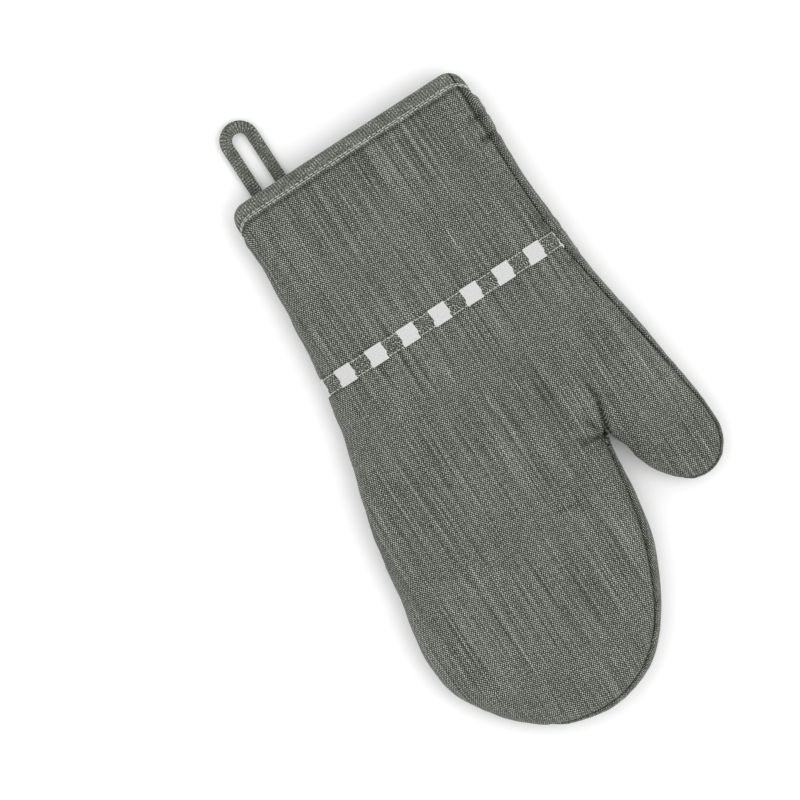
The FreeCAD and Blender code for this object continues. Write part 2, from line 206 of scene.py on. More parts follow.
def biarc(start, heading, end, end_heading):
    """Two arcs in a row that join two points smoothly, each as (start, direction there, end)."""
    t0, t1, chord = unit(heading), unit(end_heading), end - start
    along = chord @ (t0 + t1)
    spread = 2.0 * (1.0 - t0 @ t1)
    square = chord @ chord
    if spread < 1e-9:
        reach = square / (2.0 * along)
    else:
        reach = (math.sqrt(along**2 + spread * square) - along) / spread
    before, after = start + t0 * reach, end - t1 * reach
    middle = (before + after) / 2.0
    return [(start, t0, middle), (middle, (after - before) / np.linalg.norm(after - before), end)]


def arc_points(arc, count):
    """count points along an arc from its start, with the direction at each."""
    start, direction, end = arc
    chord = end - start
    half = math.atan2(direction[0] * chord[1] - direction[1] * chord[0], direction @ chord)
    share = np.arange(count) / count
    turn = 2.0 * half * share
    cos, sin = np.cos(turn), np.sin(turn)
    along = np.stack([direction[0] * cos - direction[1] * sin, direction[0] * sin + direction[1] * cos], -1)
    if abs(half) < 1e-7:
        return start + chord * share[:, None], along
    radius = np.linalg.norm(chord) / (2.0 * math.sin(half))
    centre = start + left_of(direction) * radius
    return centre - left_of(along) * radius, along


class Outline:
    """The mitt's edge in plan as evenly spaced points, with what depends on the place along it."""

    def __init__(self, spacing):
        points, ways, insets, knots = [], [], [], []
        places = stations()
        for k, (a, b) in enumerate(zip(places, places[1:])):
            knots.append(sum(map(len, points)))
            arcs = biarc(np.array(a[:2]), a[2], np.array(b[:2]), b[2])
            lengths = [max(np.linalg.norm(arc[2] - arc[0]), 1e-9) for arc in arcs]
            done = 0.0
            for arc, length in zip(arcs, lengths):
                count = max(3, round(length / spacing))
                at, way = arc_points(arc, count)
                points.append(at)
                ways.append(way)
                share = (done + length * np.arange(count) / count) / sum(lengths)
                insets.append(a[3] + (b[3] - a[3]) * smooth(share))
                done += length
        points.append([places[-1][:2]])
        ways.append([unit(places[-1][2])])
        insets.append([places[-1][3]])
        self.points = np.concatenate(points)
        self.outward = left_of(np.concatenate(ways))
        self.seam_inset = np.concatenate(insets)
        steps = np.linalg.norm(np.diff(self.points, axis=0), axis=1)
        self.along = np.concatenate([[0.0], np.cumsum(steps)])
        self.crotch = knots[CROTCH_STATION]
        flare = np.arange(*(knots[k] for k in FLARE_STATIONS))
        self.thumb_start = flare[np.argmin(np.abs(self.points[flare, 1] - (CROTCH[1] - 76.0)))]
        self.ring = self.points - self.outward * RIM

    def __len__(self):
        """How many points there are."""
        return len(self.points)


def inside(points, polygon):
    """Which points lie inside a closed polygon."""
    x, y = points[:, 0][:, None], points[:, 1][:, None]
    ax, ay = polygon[:, 0], polygon[:, 1]
    bx, by = np.roll(ax, -1), np.roll(ay, -1)
    crosses = (ay > y) != (by > y)
    rise = np.where(by == ay, 1e-12, by - ay)
    return (np.sum(crosses & (x < (bx - ax) * (y - ay) / rise + ax), axis=1) % 2) == 1


def distance(points, line):
    """Each point's distance to a line of points, and how far along that line the nearest place is."""
    a, b = line[:-1], line[1:]
    step = b - a
    length = np.linalg.norm(step, axis=1)
    before = np.concatenate([[0.0], np.cumsum(length)[:-1]])
    best, where = np.full(len(points), np.inf), np.zeros(len(points))
    for lot in np.array_split(np.arange(len(points)), max(1, len(points) * len(a) // 4000000)):
        away = points[lot][:, None, :] - a
        share = np.clip((away * step).sum(-1) / np.maximum(length**2, 1e-12), 0, 1)
        far = np.linalg.norm(away - share[..., None] * step, axis=-1)
        nearest = far.argmin(1)
        rows = np.arange(len(lot))
        best[lot] = far[rows, nearest]
        where[lot] = before[nearest] + share[rows, nearest] * length[nearest]
    return best, where


class Plan:
    """The middle of the mitt in plan, filled with triangles inside the outline's inner ring."""

    def __init__(self, outline, spacing):
        ring = outline.ring
        start, crotch = ring[outline.thumb_start], ring[outline.crotch]
        split = self.line(start, crotch, spacing)
        hem = self.line(ring[-1], ring[0], spacing)
        low, high = ring.min(0), ring.max(0)
        xs, ys = np.arange(low[0], high[0], spacing), np.arange(low[1] + spacing, high[1], spacing)
        grid = np.stack(np.meshgrid(xs, ys), -1).reshape(-1, 2)
        grid = grid[inside(grid, ring)]
        fence = np.concatenate([ring, ring[:1]])
        grid = grid[distance(grid, fence)[0] > 0.55 * spacing]
        grid = grid[distance(grid, np.array([start, crotch]))[0] > 0.5 * spacing]
        points = np.concatenate([ring, hem, split, grid])
        n, h, s = len(ring), len(hem), len(split)
        loop = list(range(n + h)) + [0]
        cut = [outline.thumb_start] + list(range(n + h, n + h + s)) + [outline.crotch]
        edges = list(zip(loop, loop[1:])) + list(zip(cut, cut[1:]))
        _, _, faces, origin, _, _ = delaunay_2d_cdt([Vector(p) for p in points], edges, [], 1, 1e-5)
        back = np.array([o[0] for o in origin])
        tri = back[np.array(faces)]
        a, b, c = points[tri[:, 0]], points[tri[:, 1]], points[tri[:, 2]]
        area = (b[:, 0] - a[:, 0]) * (c[:, 1] - a[:, 1]) - (b[:, 1] - a[:, 1]) * (c[:, 0] - a[:, 0])
        tri[area < 0] = tri[area < 0][:, ::-1]
        self.points, self.triangles = points, tri[np.abs(area) > 1e-6]
        fence = np.concatenate([ring[outline.thumb_start:outline.crotch + 1], split[::-1]])
        self.on_thumb = inside(points[self.triangles].mean(1), fence)

    @staticmethod
    def line(start, end, spacing):
        """Points between two ends, without the ends."""
        count = max(2, round(np.linalg.norm(end - start) / spacing))
        return start + (end - start) * (np.arange(1, count) / count)[:, None]


# ---- the mitt's form ----
def waves(points, seed, lengths, count=7):
    """Smooth irregular waves in plan, about -1 to 1, of the given shortest and longest length."""
    random = np.random.default_rng(seed)
    total = np.zeros(len(points))
    for _ in range(count):
        heading = random.uniform(0, 2 * math.pi)
        length = random.uniform(*lengths)
        way = np.array([math.cos(heading), math.sin(heading)])
        total += np.sin(points @ way * (2 * math.pi / length) + random.uniform(0, 2 * math.pi))
    return total / math.sqrt(count)


def ripple(along, seed, length):
    """Irregular gathers along a line, from 0 to 1, of about the given length each."""
    random = np.random.default_rng(seed)
    knots = random.uniform(0.0, 1.0, int(1200 / length) + 4)
    at = along / length
    low = np.floor(at).astype(int)
    return knots[low] + (knots[low + 1] - knots[low]) * smooth(at - low)


def thumbness(points):
    """0 on the hand, rising to 1 along the thumb."""
    across = (points - CROTCH[:2]) @ THUMB_ACROSS
    return smooth(across / 45.0) * (points[:, 0] < CROTCH[0] + 1.0)


def crown(points):
    """The front's height over the widest line."""
    cuff = smooth(1.0 - (points[:, 1] - CUFF_END) / 95.0)
    tip = smooth((points[:, 1] - FINGER_FOLD_Y) / 100.0)
    high = CROWN + (CUFF_CROWN - CROWN) * cuff - 1.5 * tip
    return high + (THUMB_CROWN - CROWN) * thumbness(points)


def profile(theta, height, inset, front):
    """Distance in from the edge, height over the widest line and outward normal, round the edge."""
    reach = np.where(front, TOP_REACH, UNDER_REACH) - inset
    high = height - inset
    into = inset + reach * (1.0 - np.cos(theta))
    up = high * np.sin(theta)
    out, rise = high * np.cos(theta), reach * np.sin(theta)
    size = np.hypot(out, rise)
    return into, up, out / size, rise / size


def pinched(y):
    """0 on the free cloth, rising to 1 where the binding squeezes the mouth's wall."""
    return smooth((BINDING_WIDTH + 2.2 - (y - CUFF_END)) / 2.6)


def mouth_corners(points):
    """Rounds the cuff's corners: the cloth there is drawn towards the fingers."""
    edge = np.minimum(points[:, 0] - CUFF_LEFT, CUFF_RIGHT - points[:, 0])
    near = np.clip(CORNER - edge, 0.0, CORNER)
    drawn = CORNER - np.sqrt(CORNER**2 - near**2)
    moved = points.copy()
    moved[:, 1] += drawn * smooth(1.0 - (points[:, 1] - CUFF_END) / CORNER_REACH)
    return moved


def crease_line():
    """Where the thumb's base folds over the hand, from the gap towards the cuff."""
    return CROTCH[:2] + np.array(CREASE_STEPS, float)


def thumb_crease(points):
    """The crease beside the thumb's base: how far it lifts the cloth, and how much painted shade a point
    gets along it.
    """
    line = crease_line()
    far, where = distance(points, line)
    length = np.linalg.norm(np.diff(line, axis=0), axis=1).sum()
    fade = smooth(CREASE_REACH - where / length) * (points[:, 1] < CROTCH[1] + 1.0)
    thumb_side = points[:, 0] < np.interp(points[:, 1], line[::-1, 1], line[::-1, 0])
    off = np.where(thumb_side, 1.9 * bell(far - 5.0, 4.0), -1.5 * bell(far, 8.0))
    off -= 2.5 * bell(far, 1.3)
    # painted shade: darker along the crease, and in the troughs of the short rays from the thumb's gap
    painted_shade = 0.9 * bell(far, np.where(thumb_side, 0.8, 1.6))
    away = points - CROTCH[:2]
    reach = np.linalg.norm(away, axis=1)
    angle = np.arctan2(away[:, 1], away[:, 0])
    rays = np.cos(angle * 9.0 + 0.6) + 0.6 * np.cos(angle * 17.0 + 2.0)
    rays *= bell(reach - 9.0, 7.0) * (away[:, 0] > 0) * (away[:, 1] < 4.0)
    return fade * off + 0.6 * rays, fade * painted_shade + 0.4 * np.clip(-rays, 0.0, 1.0)


def relief(points, front, from_seam, along):
    """How far the cloth stands off its even form, and 0 to 1 how much painted shade it gets in folds, seams
    and creases.
    """
    off = 0.0
    for height, seed, lengths in UNEVEN:
        off = off + height * waves(points, seed if front else seed + 1, lengths)
    off *= smooth(from_seam / SEAM_CALM)
    from_crotch = np.linalg.norm(points - CROTCH[:2], axis=1)
    seam = smooth((from_crotch - 1.0) / 7.0)
    off -= GROOVE_DEPTH * np.exp(-from_seam / GROOVE_WIDTH) * seam
    # fold is painted shade, not a shape: darker along the side seam, in puckers, beside the binding's edge,
    # in creases and at the ribbon's edges
    fold = 0.95 * bell(from_seam, 0.75) * seam + 0.12 * bell(from_seam, 3.0)
    gathers = 0.6 * ripple(along, 31, 7.0) + 0.4 * ripple(along, 32, 3.5)
    off += 1.2 * (gathers - 0.5) * np.exp(-from_seam / 7.0) * smooth(from_seam / 2.0)
    for place, depth in PUCKERS:
        fade = np.exp(-from_seam / PUCKER_REACH)
        pucker = bell(along - place, PUCKER_WIDTH) * fade
        off += depth * (0.5 * bell(along - place, PUCKER_SHOULDER) * fade - pucker)
        # painted shade in each pucker
        fold += 0.35 * depth * pucker
    tucked = pinched(points[:, 1])
    off = off * (1.0 - tucked) - TUCK * tucked
    over = points[:, 1] - CUFF_END - BINDING_WIDTH
    off += 0.5 * bell(over - 5.0, 5.0)
    # painted shadow line just beyond the binding's edge
    fold += 0.6 * bell(over, 0.9)
    creased, painted_shade = thumb_crease(points)
    share = 1.0 if front else np.exp(-from_seam / 2.5)
    off += creased * share
    fold += painted_shade * share
    if front:
        for start, end, depth in CREASES:
            far, _ = distance(points, CROTCH[:2] + np.array((start, end)))
            mark = depth * bell(far, 1.0)
            off -= mark
            # the same mark again as painted shade in the pressed crease
            fold += mark
        middle = (RIBBON_LOW_Y + RIBBON_HIGH_Y) / 2
        half = (RIBBON_HIGH_Y - RIBBON_LOW_Y) / 2
        from_edge = np.abs(points[:, 1] - middle) - half
        off -= 0.35 * bell(from_edge + STITCH_IN, 1.6)
        # painted shade along the ribbon's edges
        fold += 0.3 * bell(from_edge - 0.2, 0.7)
    return off, np.clip(fold, 0.0, 1.0)


class Layer:
    """One cloth surface, front or back, at a depth inside the outer face, over hand and thumb."""

    swelling = None  # gives how far the stuffed mitt's cloth has moved outward at each point

    def __init__(self, outline, plan, front, inset, rows, lift=0.0):
        self.front = front
        n = len(outline)
        seam = outline.seam_inset
        theta_seam = np.where(
            seam >= 0,
            np.arccos(1 - np.abs(seam) / TOP_REACH),
            -np.arccos(1 - np.abs(seam) / UNDER_REACH),
        )
        reach = (TOP_REACH if front else UNDER_REACH) - inset
        theta_end = math.acos(1 - (RIM - inset) / reach) * (1 if front else -1)
        share = (np.arange(rows + 1) / rows)[:, None] ** 1.6
        theta = theta_seam + (theta_end - theta_seam) * share
        top = theta >= 0
        tall = np.where(top, crown(outline.points), SEAM_HEIGHT)
        into, up, out, rise = profile(np.abs(theta), tall, inset, top)
        at = outline.points - outline.outward * into[..., None]
        z = SEAM_HEIGHT + np.where(top, up, -up)
        normal = np.concatenate(
            [outline.outward * out[..., None], np.where(top, rise, -rise)[..., None]], axis=-1
        )
        band = np.concatenate([at, z[..., None]], axis=-1)
        steps = np.linalg.norm(np.diff(band, axis=0), axis=-1)
        from_seam = np.concatenate([np.zeros((1, n)), np.cumsum(steps, axis=0)])
        to_ring = from_seam[-1] - from_seam
        weave = outline.ring + outline.outward * to_ring[..., None]
        level = 22.0 if front else 6.0  # within this of the crotch the weave lies as in plan
        near = smooth(1.8 - np.linalg.norm(at - CROTCH[:2], axis=-1) / level)[..., None]
        weave = weave + (at - weave) * near
        middle = plan.points[n:]
        depth, where = distance(middle, outline.points)
        q = np.clip((depth - inset) / reach, 0, 1)
        tall = (crown(middle) if front else np.full(len(middle), SEAM_HEIGHT)) - inset
        height = SEAM_HEIGHT + (1 if front else -1) * tall * np.sqrt(1 - (1 - q) ** 2)
        band = band.reshape(-1, 3)
        verts = np.concatenate([band, np.column_stack([middle, height])])
        ring_from = n * rows
        index = np.concatenate([ring_from + np.arange(n), n * (rows + 1) + np.arange(len(middle))])
        tri = index[plan.triangles]
        i = np.arange(n - 1)
        quads, thumb = [], []
        for k in range(rows):
            quads.append(np.column_stack([k * n + i, (k + 1) * n + i, (k + 1) * n + i + 1, k * n + i + 1]))
            thumb.append((i >= outline.thumb_start) & (i < outline.crotch))
        self.quads, self.triangles = np.concatenate(quads), tri
        if not front:
            self.quads, self.triangles = self.quads[:, ::-1], self.triangles[:, ::-1]
        self.on_thumb = np.concatenate(thumb + [plan.on_thumb])
        self.weave = np.concatenate([weave.reshape(-1, 2), middle])
        self.from_seam = np.concatenate([from_seam.ravel(), from_seam[-1].mean() + depth - RIM])
        along = np.concatenate([np.tile(outline.along, rows + 1), where])
        verts = self.relax(verts, n * (rows + 1))
        normals = self.vertex_normals(verts)
        normals[:n] = normal[0]
        # self.fold is the painted shade that the cloth's colour is darkened by
        off, self.fold = relief(verts[:, :2], front, self.from_seam, along)
        off += lift * pinched(verts[:, 1])
        if Layer.swelling is not None:
            share = 1.0 if inset == 0.0 else INNER_SHARE
            free = smooth((self.from_seam - SWELL_FROM) / SWELL_RISE)
            off += share * Layer.swelling(verts, front) * free
        if inset > 0.0:
            from_gap = np.linalg.norm(verts[:, :2] - CROTCH[:2], axis=1)
            off -= GAP_TUCK * bell(from_gap, GAP_TUCK_REACH)
        verts = verts + normals * off[:, None]
        if not front:
            verts[:, 2] = np.maximum(verts[:, 2], inset + 0.02)
        self.verts = verts
        self.seam_normal = normal[0]
        corners = [np.sort(self.quads[:, [k, (k + 1) % 4]], 1) for k in range(4)]
        corners += [np.sort(self.triangles[:, [k, (k + 1) % 3]], 1) for k in range(3)]
        self.edges = np.unique(np.concatenate(corners), axis=0)

    def faces(self):
        """All faces as tuples of point numbers, quads first."""
        return [tuple(f) for f in self.quads.tolist()] + [tuple(f) for f in self.triangles.tolist()]

    def relax(self, verts, fixed):
        """Evens out the middle's height where the roundings from two sides meet."""
        tri = self.triangles
        pairs = np.concatenate([tri[:, [0, 1]], tri[:, [1, 2]], tri[:, [2, 0]]])
        pairs = np.concatenate([pairs, pairs[:, ::-1]])
        count = np.bincount(pairs[:, 0], minlength=len(verts))
        z = verts[:, 2].copy()
        for _ in range(round(70 / FINE)):
            mean = np.bincount(pairs[:, 0], z[pairs[:, 1]], len(verts)) / np.maximum(count, 1)
            z[fixed:] = mean[fixed:]
        verts = verts.copy()
        verts[:, 2] = z
        return verts

    def vertex_normals(self, verts):
        """Area-weighted unit normals of the layer's points when they are at verts."""
        total = np.zeros_like(verts)
        for faces in (self.quads, self.triangles):
            corner = [verts[column] for column in faces.T]
            last = corner[3] if len(corner) == 4 else corner[0]
            cross = np.cross(corner[2] - corner[0], last - corner[1])
            for column in faces.T:
                np.add.at(total, column, cross)
        return total / np.maximum(np.linalg.norm(total, axis=1), 1e-12)[:, None]


# ---- meshes ----
def put(name, data):
    """A new object of this name and data, in the scene."""
    made = bpy.data.objects.new(name, data)
    bpy.context.scene.collection.objects.link(made)
    return made


def mesh_object(name, verts, faces, uv=None, loop_normals=None, material=None, fold=None):
    """A piece from points in millimetres; fold is 0 to 1, how much painted shade each point gets in folds
    and seams.
    """
    mesh = bpy.data.meshes.new(name)
    mesh.from_pydata((np.asarray(verts) * MM).tolist(), [], faces)
    if uv is not None:
        layer = mesh.uv_layers.new(name="weave")
        index = np.zeros(len(mesh.loops), int)
        mesh.loops.foreach_get("vertex_index", index)
        layer.data.foreach_set("uv", np.asarray(uv)[index].astype(np.float32).ravel())
    if fold is not None:
        # the fold attribute carries the painted shade
        painted_shade = mesh.attributes.new("fold", "FLOAT", "POINT")
        painted_shade.data.foreach_set("value", np.asarray(fold, np.float32))
    mesh.shade_smooth()
    if loop_normals is not None:
        mesh.normals_split_custom_set(loop_normals)
    if material is not None:
        mesh.materials.append(material)
    return put(name, mesh)


def thick_cloth(name, verts, normals, faces, weave, thickness, material, fold):
    """Cloth with its outer face on the given points and its inner face a thickness below."""
    used = np.unique(np.concatenate([np.array(f) for f in faces]))
    renumber = np.full(len(verts), -1)
    renumber[used] = np.arange(len(used))
    count = len(used)
    v, n, w, painted_shade = verts[used], normals[used], weave[used], fold[used]
    depth = np.broadcast_to(thickness, len(verts))[used][:, None]
    outer = [tuple(renumber[list(f)]) for f in faces]
    inner = [tuple(i + count for i in reversed(f)) for f in outer]
    single = {}
    for f in outer:
        for a, b in zip(f, f[1:] + f[:1]):
            if (b, a) in single:
                del single[(b, a)]
            else:
                single[(a, b)] = True
    rim = [(b, a, a + count, b + count) for a, b in single]
    points = np.concatenate([v, v - n * depth])
    both = np.concatenate([n, -n])
    loop_normals = [both[i] for f in outer + inner for i in f]
    for f in rim:
        a, b, c = points[f[0]], points[f[1]], points[f[2]]
        side = np.cross(b - a, c - b)
        side = side / max(np.linalg.norm(side), 1e-9)
        loop_normals += [side] * 4
    faces = outer + inner + rim
    weave, painted_shade = np.concatenate([w, w]), np.concatenate([painted_shade, painted_shade])
    return mesh_object(name, points, faces, weave, loop_normals, material, painted_shade)


def cut_by_body(layer, name, thickness, material):
    """The same layer's hand and thumb pieces; they share their edge at the thumb's fold line."""
    verts = mouth_corners(layer.verts)
    normals = layer.vertex_normals(verts)
    faces = layer.faces()
    made = {}
    for body in ("hand", "thumb"):
        mine = [f for f, thumb in zip(faces, layer.on_thumb) if thumb == (body == "thumb")]
        label = name if body == "hand" else "thumb_" + name
        made[body] = thick_cloth(label, verts, normals, mine, layer.weave, thickness, material, layer.fold)
    return made


# ---- lines on the cloth ----
def crossing(layer, y):
    """Where one layer is cut square across at y, in order from the pinky side round to the thumb's."""
    a, b = layer.verts[layer.edges[:, 0]], layer.verts[layer.edges[:, 1]]
    cut = (a[:, 1] > y) != (b[:, 1] > y)
    a, b = a[cut], b[cut]
    at = a + (b - a) * ((y - a[:, 1]) / (b[:, 1] - a[:, 1]))[:, None]
    angle = np.arctan2(5.0 * (at[:, 2] - SEAM_HEIGHT), at[:, 0] - (CUFF_LEFT + CUFF_RIGHT) / 2.0)
    return at[np.argsort(angle if layer.front else angle % (2.0 * math.pi))]


def even(line, count, closed=False):
    """count evenly spaced points along a line, with how far along it each one is."""
    if closed:
        line = np.concatenate([line, line[:1]])
    length = np.concatenate([[0.0], np.cumsum(np.linalg.norm(np.diff(line, axis=0), axis=1))])
    at = np.linspace(0.0, length[-1], count + 1)[:-1] if closed else np.linspace(0.0, length[-1], count)
    return np.column_stack([np.interp(at, length, line[:, k]) for k in range(line.shape[1])]), at


def unit_rows(vectors):
    """Each row at length 1."""
    return vectors / np.linalg.norm(vectors, axis=1)[:, None]


def square_to(way):
    """Outward unit normals, in the plane square to the mitt, of a line with these directions."""
    return unit_rows(np.column_stack([way[:, 2], np.zeros(len(way)), -way[:, 0]]))


def ring_round(y, count):
    """A smooth closed ring round both covers at y, with its outward normals and distances along."""
    ring, at = even(np.concatenate([crossing(front, y), crossing(back, y)]), count, closed=True)
    for _ in range(4):
        ring = (np.roll(ring, 1, 0) + 2.0 * ring + np.roll(ring, -1, 0)) / 4.0
    return ring, square_to(np.roll(ring, -1, 0) - np.roll(ring, 1, 0)), at


def grid_faces(rows, columns, wrap_rows=False, wrap_columns=False):
    """Quads over a grid of points stored row by row."""
    faces = []
    for r in range(rows if wrap_rows else rows - 1):
        for c in range(columns if wrap_columns else columns - 1):
            d, e = (r + 1) % rows, (c + 1) % columns
            faces.append((r * columns + c, r * columns + e, d * columns + e, d * columns + c))
    return faces


# ---- materials ----
def linear(hexa):
    """An sRGB hex colour as linear RGBA."""
    parts = [int(hexa[i:i + 2], 16) / 255 for i in (1, 3, 5)]
    return [p / 12.92 if p <= 0.04045 else ((p + 0.055) / 1.055) ** 2.4 for p in parts] + [1.0]


def add(tree, kind, inputs=(), stops=(), **settings):
    """A node with its settings; each input is a value, or the node or socket that feeds it.

    stops are a colour ramp's (place, sRGB hex).
    """
    node = tree.nodes.new(kind)
    for key, value in settings.items():
        setattr(node, key, value)
    for key, value in inputs.items() if isinstance(inputs, dict) else enumerate(inputs):
        source = value.outputs[0] if isinstance(value, bpy.types.Node) else value
        if isinstance(source, bpy.types.NodeSocket):
            tree.links.new(source, node.inputs[key])
        else:
            node.inputs[key].default_value = source
    for count, (place, colour) in enumerate(stops):
        elements = node.color_ramp.elements
        element = elements[count] if count < len(elements) else elements.new(1.0)
        element.position = place
        element.color = linear(colour)
    return node


def new_material(name):
    """An empty node material and its tree."""
    material = bpy.data.materials.new(name)
    material.use_nodes = True
    material.node_tree.nodes.clear()
    return material, material.node_tree


def finish_cloth(tree, colour, height, depth, roughness=0.92, sheen=0.12):
    """Matt cloth from a colour and a height pattern whose full range is depth millimetres."""
    bump = add(tree, "ShaderNodeBump", {"Height": height, "Strength": 1.0, "Distance": depth * MM})
    finish = {
        "Base Color": colour,
        "Roughness": roughness,
        "Specular IOR Level": 0.25,
        "Sheen Weight": sheen,
        "Sheen Roughness": 0.5,
        "Normal": bump,
    }
    add(tree, "ShaderNodeOutputMaterial", {"Surface": add(tree, "ShaderNodeBsdfPrincipled", finish)})


def grain(tree, u, v, across, along, seed, detail=1.0):
    """Noise whose grains are across by along millimetres."""
    x = add(tree, "ShaderNodeMath", (u, across), operation="DIVIDE")
    y = add(tree, "ShaderNodeMath", (v, along), operation="DIVIDE")
    place = add(tree, "ShaderNodeCombineXYZ", (x, y, seed))
    return add(tree, "ShaderNodeTexNoise", {"Vector": place, "Scale": 1.0, "Detail": detail})


def yarns(tree, place, pitch):
    """A wave from -1 to 1 across yarns of the given pitch."""
    turn = add(tree, "ShaderNodeMath", (place, 2.0 * math.pi / pitch), operation="MULTIPLY")
    return add(tree, "ShaderNodeMath", (turn,), operation="SINE")


def over_and_under(tree, one, other):
    """Two sets of yarns crossing in plain weave, from 0 to 1."""
    cross = add(tree, "ShaderNodeMath", (one, other), operation="MULTIPLY")
    return add(tree, "ShaderNodeMath", (cross, 0.5, 0.5), operation="MULTIPLY_ADD")


def stacked(tree, base, *parts):
    """base plus each pattern, which runs about 0.5, times its weight."""
    total = base - sum(weight for _, weight in parts) / 2.0
    for part, weight in parts:
        total = add(tree, "ShaderNodeMath", (part, weight, total), operation="MULTIPLY_ADD")
    return total


def peaks(tree, part, above, weight):
    """Only what stands above a level, times a weight."""
    over = add(tree, "ShaderNodeMath", (part, above), operation="SUBTRACT", use_clamp=True)
    return add(tree, "ShaderNodeMath", (over, weight), operation="MULTIPLY")


def weave_place(tree):
    """The cloth's own place: u across its grain and v along it, in millimetres."""
    uv = add(tree, "ShaderNodeUVMap", uv_map="weave")
    parts = add(tree, "ShaderNodeSeparateXYZ", (uv,))
    return parts.outputs["X"], parts.outputs["Y"]


# Chambray: dark green-grey warp along the mitt and pale weft across it, two yarns to a repeat.
# The repeats are coarser than chambray usually has, so that the weave's pepper and salt shows.
WARP_REPEAT = 1.43
WEFT_REPEAT = 1.68
CHAMBRAY = ((0.0, "#060904"), (0.25, "#1e2119"), (0.5, "#41453d"), (0.75, "#74786f"), (1.0, "#cbccc4"))


def shaded(tree, tone, depth):
    """A tone from 0 to 1 with painted shade: darker, by up to depth, where the fold attribute marks folds
    and seams.
    """
    fold = add(tree, "ShaderNodeAttribute", attribute_name="fold", attribute_type="GEOMETRY")
    parts = (fold.outputs["Fac"], -depth, tone)
    return add(tree, "ShaderNodeMath", parts, operation="MULTIPLY_ADD", use_clamp=True)


def chambray(name):
    """Yarn-dyed slubby cotton in plain weave: speckled, with soft pale and dark lines along it."""
    material, tree = new_material(name)
    u, v = weave_place(tree)
    wander = grain(tree, u, v, 22.0, 60.0, 0.0)
    u_drift = add(tree, "ShaderNodeMath", (wander, 1.6, u), operation="MULTIPLY_ADD")
    v_drift = add(tree, "ShaderNodeMath", (wander, 1.2, v), operation="MULTIPLY_ADD")
    cross = over_and_under(tree, yarns(tree, u_drift, WARP_REPEAT), yarns(tree, v_drift, WEFT_REPEAT))
    warp_yarn = grain(tree, u_drift, v, WARP_REPEAT * 0.55, 80.0, 3.0)
    weft_yarn = grain(tree, u, v_drift, 9.0, WEFT_REPEAT * 0.5, 5.0)
    speck = grain(tree, u_drift, v_drift, WARP_REPEAT * 0.35, WEFT_REPEAT * 0.4, 7.0)
    cloud = grain(tree, u, v, 35.0, 60.0, 19.0, 2.0)
    weights = ((cross, 0.9), (warp_yarn, 0.55), (weft_yarn, 0.2), (speck, 1.05), (cloud, 0.1))
    tone = stacked(tree, 0.5, *weights)
    slub = peaks(tree, grain(tree, u_drift, v, 0.9, 26.0, 9.0), 0.64, 1.6)
    tone = add(tree, "ShaderNodeMath", (tone, slub), operation="ADD")
    dark = peaks(tree, grain(tree, u_drift, v, 0.6, 50.0, 13.0), 0.6, 1.5)
    tone = add(tree, "ShaderNodeMath", (tone, dark), operation="SUBTRACT")
    knot = peaks(tree, grain(tree, u, v, 1.2, 1.6, 17.0), 0.8, 5.0)
    tone = add(tree, "ShaderNodeMath", (tone, knot), operation="SUBTRACT")
    # the cover's colour, darkened by painted shade in its folds and seams
    colour = add(tree, "ShaderNodeValToRGB", (shaded(tree, tone, 0.3),), CHAMBRAY)
    height = stacked(tree, 0.5, (cross, 0.6), (slub, 0.5), (speck, 0.6))
    finish_cloth(tree, colour, height, 0.18)
    return material


def bias_tape(name):
    """The same cloth cut on the bias and folded: its yarns show as ribs across the tape."""
    material, tree = new_material(name)
    u, v = weave_place(tree)
    wander = grain(tree, u, v, 8.0, 5.0, 21.0)
    lean = add(tree, "ShaderNodeMath", (v, 0.16, u), operation="MULTIPLY_ADD")
    lean = add(tree, "ShaderNodeMath", (wander, 1.2, lean), operation="MULTIPLY_ADD")
    rib = add(tree, "ShaderNodeMath", (yarns(tree, lean, RIB_PITCH), 0.5, 0.5), operation="MULTIPLY_ADD")
    rib = add(tree, "ShaderNodeMath", (rib, 0.6), operation="POWER")
    cross = over_and_under(tree, yarns(tree, u, RIB_PITCH / 2.0), yarns(tree, v, 1.3))
    speck = grain(tree, u, v, 0.6, 0.9, 23.0)
    patch = grain(tree, u, v, 9.0, 5.0, 29.0)
    tone = stacked(tree, 0.57, (rib, 0.24), (cross, 0.2), (speck, 1.0), (patch, 0.3))
    height = stacked(tree, 0.5, (rib, 0.5), (speck, 0.6))
    # the tape's colour, darkened by painted shade in its folds and grooves
    finish_cloth(tree, add(tree, "ShaderNodeValToRGB", (shaded(tree, tone, 0.5),), CHAMBRAY), height, 0.2)
    return material


WHITE_COTTON = ((0.0, "#989998"), (0.45, "#bfc0bf"), (1.0, "#dadad9"))


def check_ribbon_cloth(name):
    """Woven ribbon in even squares of white and grey-green, with fine cross ribs."""
    material, tree = new_material(name)
    u, v = weave_place(tree)
    step = add(tree, "ShaderNodeMath", (u, -WHITE_SQUARE_X), operation="ADD")
    step = add(tree, "ShaderNodeMath", (step, 2.0 * SQUARE), operation="FLOORED_MODULO")
    white = add(tree, "ShaderNodeMath", (step, SQUARE), operation="LESS_THAN")
    cross = over_and_under(tree, yarns(tree, u, 1.5), yarns(tree, v, 1.5))
    speck = grain(tree, u, v, 0.7, 0.9, 31.0)
    green_tone = stacked(tree, 0.5, (cross, 0.7), (speck, 1.6))
    green = add(tree, "ShaderNodeValToRGB", (green_tone,), CHAMBRAY)
    pale_tone = stacked(tree, 0.45, (cross, 0.15), (speck, 0.5))
    pale = add(tree, "ShaderNodeValToRGB", (pale_tone,), WHITE_COTTON)
    colour = add(tree, "ShaderNodeMix", {0: white, 6: green, 7: pale}, data_type="RGBA").outputs[2]
    finish_cloth(tree, colour, stacked(tree, 0.5, (cross, 0.5), (speck, 0.5)), 0.12, roughness=0.75)
    return material


